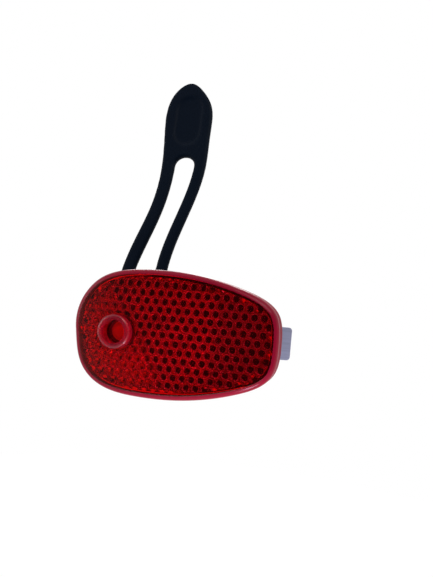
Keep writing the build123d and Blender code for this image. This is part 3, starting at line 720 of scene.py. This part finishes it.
def dot_tree(material):
    """Flat domes on a square grid, facing down."""
    tree, ins, outs = shape_tree("Button Dots", [
        ("Columns", "NodeSocketInt", 5), ("Rows", "NodeSocketInt", 3),
        ("Pitch", "NodeSocketFloat", 0.0013), ("Radius", "NodeSocketFloat", 0.0004),
        ("Height", "NodeSocketFloat", 0.0002), ("Place", "NodeSocketVector", (0.0, 0.0, 0.0))])
    long_gaps = math_node(tree, "SUBTRACT", ins.outputs["Columns"], 1.0)
    short_gaps = math_node(tree, "SUBTRACT", ins.outputs["Rows"], 1.0)
    long_side = math_node(tree, "MULTIPLY", ins.outputs["Pitch"], long_gaps)
    short_side = math_node(tree, "MULTIPLY", ins.outputs["Pitch"], short_gaps)
    grid = tree.nodes.new("GeometryNodeMeshGrid")
    dome = tree.nodes.new("GeometryNodeMeshUVSphere")
    dome.inputs["Segments"].default_value = 16
    dome.inputs["Rings"].default_value = 8
    dome.inputs["Radius"].default_value = 1.0
    flat = tree.nodes.new("ShaderNodeCombineXYZ")
    spread = tree.nodes.new("GeometryNodeInstanceOnPoints")
    move = tree.nodes.new("GeometryNodeTransform")
    link(tree, long_side, grid.inputs["Size X"])
    link(tree, short_side, grid.inputs["Size Y"])
    link(tree, ins.outputs["Columns"], grid.inputs["Vertices X"])
    link(tree, ins.outputs["Rows"], grid.inputs["Vertices Y"])
    link(tree, ins.outputs["Radius"], flat.inputs["X"])
    link(tree, ins.outputs["Radius"], flat.inputs["Y"])
    link(tree, ins.outputs["Height"], flat.inputs["Z"])
    link(tree, grid.outputs["Mesh"], spread.inputs["Points"])
    link(tree, dome.outputs["Mesh"], spread.inputs["Instance"])
    link(tree, flat.outputs[0], spread.inputs["Scale"])
    link(tree, spread.outputs[0], move.inputs["Geometry"])
    link(tree, ins.outputs["Place"], move.inputs["Translation"])
    end_tree(tree, move.outputs[0], outs, material)
    return tree


def grown(name, tree, values):
    """The plain mesh that a geometry tree makes from the given sizes."""
    piece = bpy.data.objects.new(name, bpy.data.meshes.new(name))
    bpy.context.scene.collection.objects.link(piece)
    grower = piece.modifiers.new(tree.name, "NODES")
    grower.node_group = tree
    for socket in tree.interface.items_tree:
        if socket.in_out == "INPUT" and socket.name in values:
            grower[socket.identifier] = values[socket.name]
    take_shape(piece)
    piece.data.shade_smooth()
    piece.data.set_sharp_from_angle(angle=CREASES["grown"])
    return piece


# Pieces

class REARLIGHT_OT_lens(bpy.types.Operator):
    """Make the clear red lens"""

    bl_idname = "rearlight.lens"
    bl_label = "Lens"

    def execute(self, context):
        settings = context.scene.rear_light_lens
        piece = smooth_copy("lens", settings.smooth_angle)
        facets, anchor = self.find_facets(piece.data, settings)
        cell_finish = cell_group(), {
            "Pitch": settings.cell_pitch, "Anchor": anchor, "Clear Radius": settings.cell_clear,
            "Dull Radius": settings.cell_dull, "Polish": settings.polish, "Dull": settings.cell_frost}
        clear = clear_material(
            "Clear Red", settings.colour, settings.ior, polish(settings.polish), settings.clearness)
        frosted = grained_material(
            "Frosted Red", settings.rim_colour, size=0.0004, depth=0.5, gloss=settings.skirt_frost,
            dust=0.2, shine=0.02)
        satin = grained_material(
            "Satin Red", settings.rim_colour, size=0.003, depth=0.3, gloss=settings.rim_frost,
            change=0.05, bump=0.00001, dust=0.1, shine=0.1)
        cells = clear_material(
            "Cell Red", settings.colour, settings.ior, cell_finish, settings.clearness)
        # Painted light: the inner wall is opaque and glows in a bright red, standing in for daylight
        # through the skirt
        lit = clear_material(
            "Lit Red", settings.glowing_wall_colour, settings.ior, polish(settings.skirt_frost),
            clearness=0.0, shine=0.2, glow=settings.painted_wall_glow)
        ring = clear_material(
            "Ring Red", settings.ring_colour, settings.ior, polish(settings.ring_frost),
            clearness=settings.ring_clearness, shine=0.15)
        settle(piece, "lens", clear)
        for material in (frosted, satin, cells, lit, ring):
            piece.data.materials.append(material)
        self.finish_faces(piece.data, settings)
        for index in facets:
            piece.data.polygons[index].material_index = CELLS
        return {"FINISHED"}

    def find_facets(self, mesh, settings):
        """The reflector's facets, and the deepest corner of their cells."""
        flattest, steepest = FACET_TILT
        facets = []
        corners = []
        for face in mesh.polygons:
            behind_plate = face.center.y + settings.front > settings.plate
            if behind_plate and flattest < face.normal.y < steepest:
                facets.append(face.index)
                corners.extend(mesh.vertices[index].co.copy() for index in face.vertices)
        return facets, max(corners, key=lambda corner: corner.y)

    def finish_faces(self, mesh, settings):
        """Gives the skirt, the rounded rim and the window's ring their own finishes; the skirt's inner wall
        gets a painted glow.
        """
        low, high = (Vector(corner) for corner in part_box("lens"))
        led_low, led_high = (Vector(corner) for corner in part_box("led_holder"))
        window = (led_low + led_high) / 2
        seam_room = 10 * FACE_LIFT
        corners = [vertex.co for vertex in mesh.vertices]
        walls = BVHTree.FromPolygons(corners, [face.vertices for face in mesh.polygons])
        for face in mesh.polygons:
            back = max(mesh.vertices[index].co.y for index in face.vertices)
            depth = face.center.y + settings.front
            aside = math.hypot(face.center.x - window.x, face.center.z - window.z)
            near_window = aside < settings.window_room
            outside = walls.ray_cast(face.center + FACE_LIFT * face.normal, face.normal)[0] is None
            sideways = abs(face.normal.y) < SIDE_FACING
            on_side = sideways and outside and depth > settings.plate - FACE_LIFT
            on_wall = sideways and not outside and depth > settings.plate + settings.cell_room
            on_skirt = on_side or on_wall or back > high.y - seam_room
            on_round = FACE_LIFT < depth < settings.plate - FACE_LIFT
            in_slot = face.center.z < low.z + settings.slot_room and depth > settings.plate
            if near_window:
                if depth < -FACE_LIFT:
                    face.material_index = RING
            elif on_skirt or in_slot:
                # Outer skirt and coin slot are frosted; inner walls get the painted glow that stands in for
                # daylight through the skirt
                face.material_index = FROSTED if outside or in_slot else PAINTED_GLOW
            elif on_round:
                face.material_index = SATIN


class REARLIGHT_OT_strap(bpy.types.Operator):
    """Make the silicone strap"""

    bl_idname = "rearlight.strap"
    bl_label = "Strap"

    def execute(self, context):
        settings = context.scene.rear_light_soft
        silicone = grained_material(
            "Silicone", settings.strap_colour, size=0.0005, depth=0.5, gloss=settings.strap_gloss,
            change=0.12, dust=0.1, shine=settings.strap_shine)
        piece = smooth_copy("strap", CREASES["strap"])
        flat_side = max(piece.data.polygons, key=lambda face: face.area).normal
        upright = Matrix.Rotation(math.atan(-flat_side.z / flat_side.y), 4, "X")
        piece.data.transform(upright)
        soften(piece, settings.strap_mesh, settings.strap_softening)
        piece.data.transform(upright.inverted())
        settle(piece, "strap", silicone)
        return {"FINISHED"}


class REARLIGHT_OT_shell(bpy.types.Operator):
    """Finish the housing and its rubber pieces"""

    bl_idname = "rearlight.shell"
    bl_label = "Housing"

    def execute(self, context):
        settings = context.scene.rear_light_shell
        soft = context.scene.rear_light_soft
        plastic = grained_material(
            "Black Moulding", settings.colour, size=settings.grain, depth=0.5, gloss=0.6,
            dust=0.4, shine=0.35)
        rubber = grained_material(
            "Soft Rubber", soft.rubber_colour, size=0.0004, depth=0.8, gloss=0.66, dust=0.5, shine=0.3)
        settle(smooth_copy("housing", CREASES["housing"]), "housing", plastic)
        dress("lens_seal", rubber)
        settle(smooth_copy("button", CREASES["button"]), "button", rubber)
        settle(self.make_pad(soft, rubber), "saddle_pad", rubber)
        dots = self.make_dots(soft, rubber)
        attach(dots, body_of(NODES["button"])[0])
        return {"FINISHED"}

    def make_pad(self, soft, rubber):
        """The saddle's rubber pad, with rounded ribs along the seat post."""
        low, high = (Vector(corner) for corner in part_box("saddle_pad"))
        half_wrap = math.asin(high.z / -low.y)
        tree = pad_tree(rubber)
        return grown("saddle_pad_ribbed", tree, {
            "Length": high.x - low.x, "Half Wrap": half_wrap, "Outer Radius": -low.y,
            "Thickness": soft.pad_thickness, "Ribs": soft.pad_ribs, "Rib Depth": soft.pad_rib_depth})

    def make_dots(self, soft, rubber):
        """Raised dots that the thumb finds on the button."""
        low, high = (Vector(corner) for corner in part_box("button"))
        middle = (low + high) / 2
        tree = dot_tree(rubber)
        return grown("button_dots", tree, {
            "Columns": soft.dot_columns, "Rows": soft.dot_rows, "Pitch": soft.dot_pitch,
            "Radius": soft.dot_radius, "Height": soft.dot_height,
            "Place": (middle.x, middle.y, low.z)})


class REARLIGHT_OT_metal(bpy.types.Operator):
    """Finish the clip, the pins and the spring"""

    bl_idname = "rearlight.metal"
    bl_label = "Metal"

    def execute(self, context):
        settings = context.scene.rear_light_metal
        rolled = rolled_material(
            "Rolled Steel", settings.clip_colour, along=(25.0, 25.0, 1400.0), gloss=0.48,
            shade=0.7, metal=0.7)
        ground = rolled_material(
            "Ground Steel", settings.pin_colour, along=(3000.0, 200.0, 200.0), gloss=0.22)
        settle(smooth_copy("clip", CREASES["clip"]), "clip", rolled)
        for node in ("strap_pin", "clip_pin", "clip_spring", "board_screws"):
            dress(node, ground)
        return {"FINISHED"}


class REARLIGHT_OT_inside(bpy.types.Operator):
    """Finish what the housing holds"""

    bl_idname = "rearlight.inside"
    bl_label = "Inside"

    def execute(self, context):
        settings = context.scene.rear_light_metal
        plated = rolled_material(
            "Plated Strip", settings.contact_colour, along=(900.0, 900.0, 60.0), gloss=0.2)
        for node in ("positive_contact", "negative_contact", "cell_link"):
            dress(node, plated)
        for name, (nodes, colour, size, depth, gloss) in SMALL_PARTS.items():
            material = grained_material(name, colour, size, depth, gloss)
            for node in nodes:
                dress(node, material)
        # Painted light: the LED's epoxy glows faintly, standing in for light that reaches it inside the
        # window
        epoxy = clear_material(
            "Red Epoxy", colour=(0.95, 0.012, 0.03), ior=1.5, finish=polish(0.1), clearness=0.1,
            glow=0.14)
        dress("led", epoxy)
        return {"FINISHED"}


# Stage

def stage_material(settings):
    """Pale floor that the camera sees as white, with the light's shadow left on it."""
    material, tree, out = new_tree("Pale Floor")
    lit = tree.nodes.new("ShaderNodeBsdfDiffuse")
    lit.inputs["Color"].default_value = (*settings.floor_colour, 1)
    glow = tree.nodes.new("ShaderNodeEmission")
    glow.inputs["Color"].default_value = (1, 1, 1, 1)
    seen, mirrored = seen_white(tree)
    either = math_node(tree, "ADD", seen, mirrored, clamp=True)
    mix = tree.nodes.new("ShaderNodeMixShader")
    link(tree, math_node(tree, "MULTIPLY", either, settings.floor_white), mix.inputs["Fac"])
    link(tree, lit.outputs[0], mix.inputs[1])
    link(tree, glow.outputs[0], mix.inputs[2])
    link(tree, mix.outputs[0], out.inputs["Surface"])
    return material


def add_lamp(name, place, target, size, power, colour=(1, 1, 1)):
    """A soft square lamp that faces a point."""
    data = bpy.data.lights.new(name, "AREA")
    data.shape = "SQUARE"
    data.size = size
    data.energy = power
    data.color = colour
    lamp = bpy.data.objects.new(name, data)
    lamp.location = place
    lamp.rotation_euler = (Vector(target) - Vector(place)).to_track_quat("-Z", "Y").to_euler()
    bpy.context.scene.collection.objects.link(lamp)
    return lamp


class REARLIGHT_OT_stage(bpy.types.Operator):
    """Set up the floor, the lights and the camera"""

    bl_idname = "rearlight.stage"
    bl_label = "Stage"

    def execute(self, context):
        settings = context.scene.rear_light_stage
        low, high = (Vector(corner) for corner in CAD_BOX)
        middle = (low + high) / 2
        self.make_floor(middle, low.z - settings.floor_drop, settings)
        self.make_world(context.scene, settings)
        for name, (place, size, power) in LAMPS.items():
            add_lamp(name, place, middle, size, power)
        front = Vector((0, low.y, 0))
        glint = add_lamp(
            "Glint", front + settings.glint_far * Vector(settings.glint_side), front,
            settings.glint_size, settings.glint_power, settings.glint_colour)
        glint.visible_camera = False
        self.make_camera(context.scene, settings)
        return {"FINISHED"}

    def make_floor(self, middle, height, settings):
        """A round pale table under the light."""
        reach = settings.floor_reach
        rim = []
        for index in range(FLOOR_CORNERS):
            turn = math.tau * index / FLOOR_CORNERS
            rim.append((middle.x + reach * math.cos(turn), middle.y + reach * math.sin(turn), height))
        mesh = bpy.data.meshes.new("floor")
        mesh.from_pydata(rim, [], [tuple(range(FLOOR_CORNERS))])
        mesh.materials.append(stage_material(settings))
        floor = bpy.data.objects.new("floor", mesh)
        bpy.context.scene.collection.objects.link(floor)

    def make_world(self, scene, settings):
        """A white studio with the darker room that the camera stands in."""
        world = bpy.data.worlds.new("Studio")
        scene.world = world
        world.use_nodes = True
        tree = world.node_tree
        tree.nodes.clear()
        out = tree.nodes.new("ShaderNodeOutputWorld")
        place = tree.nodes.new("ShaderNodeTexCoord").outputs["Generated"]
        towards = vector_node(tree, "DOT_PRODUCT", place, settings.room_side)
        ramp = tree.nodes.new("ShaderNodeValToRGB")
        ramp.color_ramp.interpolation = "EASE"
        bright, dark = ramp.color_ramp.elements
        bright.position = settings.room_edge
        bright.color = (1, 1, 1, 1)
        dark.position = settings.room_middle
        dark.color = (*settings.room_colour, 1)
        studio = tree.nodes.new("ShaderNodeBackground")
        white = tree.nodes.new("ShaderNodeBackground")
        white.inputs["Color"].default_value = (1, 1, 1, 1)
        seen, mirrored = seen_white(tree)
        strength = math_node(tree, "MULTIPLY_ADD", mirrored, 1 - settings.sky, settings.sky)
        mix = tree.nodes.new("ShaderNodeMixShader")
        link(tree, towards.outputs["Value"], ramp.inputs["Fac"])
        link(tree, ramp.outputs["Color"], studio.inputs["Color"])
        link(tree, strength, studio.inputs["Strength"])
        link(tree, seen, mix.inputs["Fac"])
        link(tree, studio.outputs[0], mix.inputs[1])
        link(tree, white.outputs[0], mix.inputs[2])
        link(tree, mix.outputs[0], out.inputs["Surface"])

    def make_camera(self, scene, settings):
        """The camera at the photograph's angle."""
        back = Vector((
            math.sin(settings.azimuth) * math.cos(settings.elevation),
            -math.cos(settings.azimuth) * math.cos(settings.elevation),
            math.sin(settings.elevation)))
        right = Vector((math.cos(settings.azimuth), math.sin(settings.azimuth), 0))
        up = back.cross(right)
        turned_right = math.cos(settings.roll) * right + math.sin(settings.roll) * up
        turned_up = math.cos(settings.roll) * up - math.sin(settings.roll) * right
        data = bpy.data.cameras.new("Camera")
        data.lens = settings.lens
        data.sensor_width = 36.0
        data.shift_x, data.shift_y = settings.shift
        data.clip_start = 0.01
        data.clip_end = 20.0
        camera = bpy.data.objects.new("Camera", data)
        turn = Matrix((turned_right, turned_up, back)).transposed().to_4x4()
        camera.matrix_world = Matrix.Translation(settings.eye) @ turn
        scene.collection.objects.link(camera)
        scene.camera = camera
        scene.view_settings.view_transform = "Standard"


class REARLIGHT_PT_panel(bpy.types.Panel):
    """Lists the steps that dress the light"""

    bl_idname = "REARLIGHT_PT_panel"
    bl_label = "Rear Light"
    bl_space_type = "VIEW_3D"
    bl_region_type = "UI"
    bl_category = "Rear Light"

    def draw(self, context):
        for step in STEPS:
            self.layout.operator(step.bl_idname)
        for name, group in GROUPS.items():
            settings = getattr(context.scene, name)
            for size in group.__annotations__:
                self.layout.prop(settings, size)


STEPS = (
    REARLIGHT_OT_lens,
    REARLIGHT_OT_strap,
    REARLIGHT_OT_shell,
    REARLIGHT_OT_metal,
    REARLIGHT_OT_inside,
    REARLIGHT_OT_stage,
)
GROUPS = {
    "rear_light_lens": LensSettings,
    "rear_light_soft": SoftSettings,
    "rear_light_shell": ShellSettings,
    "rear_light_metal": MetalSettings,
    "rear_light_stage": StageSettings,
}


def register():
    for name, group in GROUPS.items():
        bpy.utils.register_class(group)
        setattr(bpy.types.Scene, name, bpy.props.PointerProperty(type=group))
    for step in STEPS:
        bpy.utils.register_class(step)
    bpy.utils.register_class(REARLIGHT_PT_panel)


def unregister():
    bpy.utils.unregister_class(REARLIGHT_PT_panel)
    for step in reversed(STEPS):
        bpy.utils.unregister_class(step)
    for name, group in reversed(GROUPS.items()):
        delattr(bpy.types.Scene, name)
        bpy.utils.unregister_class(group)


def main():
    register()
    bpy.ops.rearlight.lens()
    bpy.ops.rearlight.strap()
    bpy.ops.rearlight.shell()
    bpy.ops.rearlight.metal()
    bpy.ops.rearlight.inside()
    bpy.ops.rearlight.stage()


if __name__ == "__main__":
    main()
